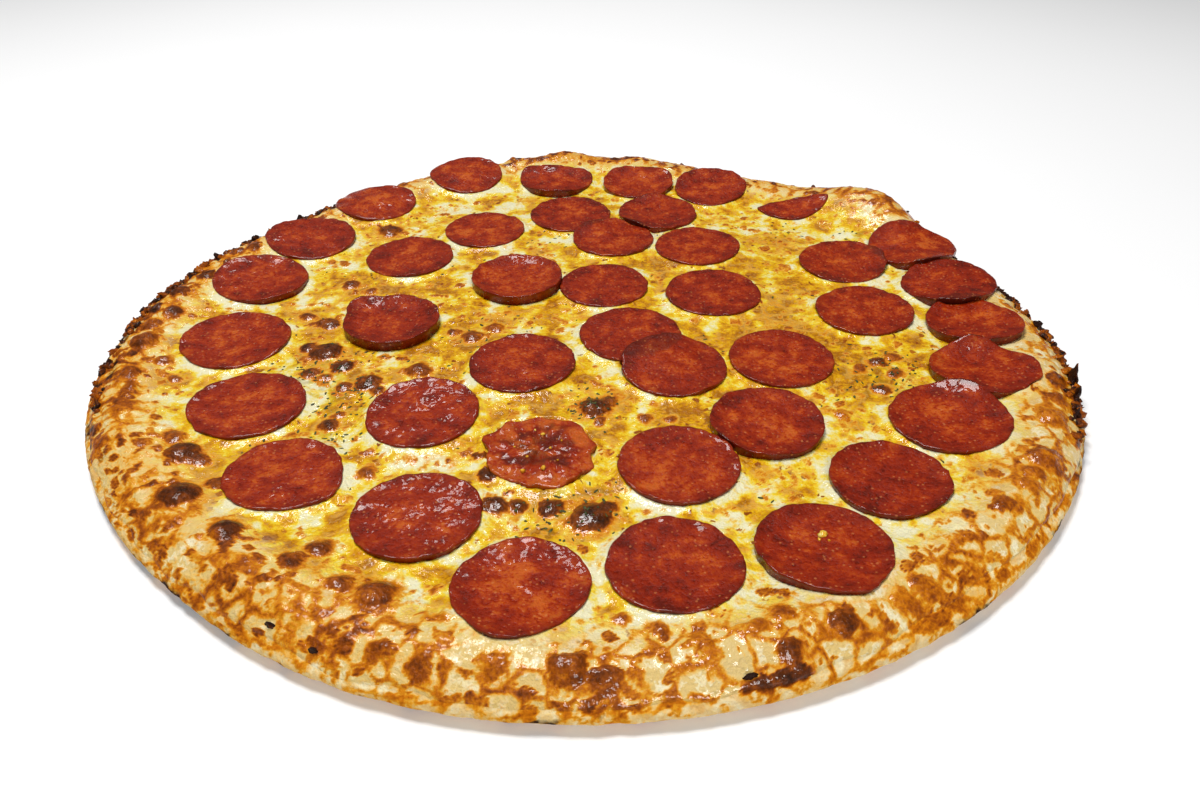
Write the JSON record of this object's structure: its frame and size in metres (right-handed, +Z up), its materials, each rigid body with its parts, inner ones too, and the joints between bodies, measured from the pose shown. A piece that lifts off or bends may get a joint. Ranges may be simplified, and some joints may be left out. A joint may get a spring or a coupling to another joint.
{
  "type": "pepperoni pizza",
  "caption": "Whole uncut round pizza with a puffed, browned rim, baked cheese and flat round pepperoni slices, some cupped or overlapping.",
  "frame": {"origin": "middle of the outline as seen from above, on the flat underside", "axes": "+Z up from the underside, +X to the right and +Y away from the viewer in the picture"},
  "size_m": [0.4092, 0.407, 0.0223],
  "materials": {
    "baked_dough": "baked wheat dough, beige to golden brown, charred in places",
    "melted_cheese": "melted mozzarella, cream to golden yellow, brown blisters and a film of oil",
    "pepperoni": "baked cured sausage, brick red, oily"
  },
  "bodies": {
    "root": {"dough": "baked_dough", "cheese": "melted_cheese", "pepperoni_01": "pepperoni", "pepperoni_02": "pepperoni", "pepperoni_03": "pepperoni", "pepperoni_04": "pepperoni", "pepperoni_05": "pepperoni", "pepperoni_06": "pepperoni", "pepperoni_07": "pepperoni", "pepperoni_08": "pepperoni", "pepperoni_09": "pepperoni", "pepperoni_10": "pepperoni", "pepperoni_11": "pepperoni", "pepperoni_12": "pepperoni", "pepperoni_13": "pepperoni", "pepperoni_14": "pepperoni", "pepperoni_15": "pepperoni", "pepperoni_16": "pepperoni", "pepperoni_17": "pepperoni", "pepperoni_18": "pepperoni", "pepperoni_19": "pepperoni", "pepperoni_20": "pepperoni", "pepperoni_21": "pepperoni", "pepperoni_22": "pepperoni", "pepperoni_23": "pepperoni", "pepperoni_24": "pepperoni", "pepperoni_25": "pepperoni", "pepperoni_26": "pepperoni", "pepperoni_27": "pepperoni", "pepperoni_28": "pepperoni", "pepperoni_29": "pepperoni", "pepperoni_30": "pepperoni", "pepperoni_31": "pepperoni", "pepperoni_32": "pepperoni", "pepperoni_33": "pepperoni", "pepperoni_34": "pepperoni", "pepperoni_35": "pepperoni", "pepperoni_36": "pepperoni", "pepperoni_37": "pepperoni", "pepperoni_38": "pepperoni", "pepperoni_39": "pepperoni", "pepperoni_40": "pepperoni", "pepperoni_41": "pepperoni"}
  },
  "joints": []
}
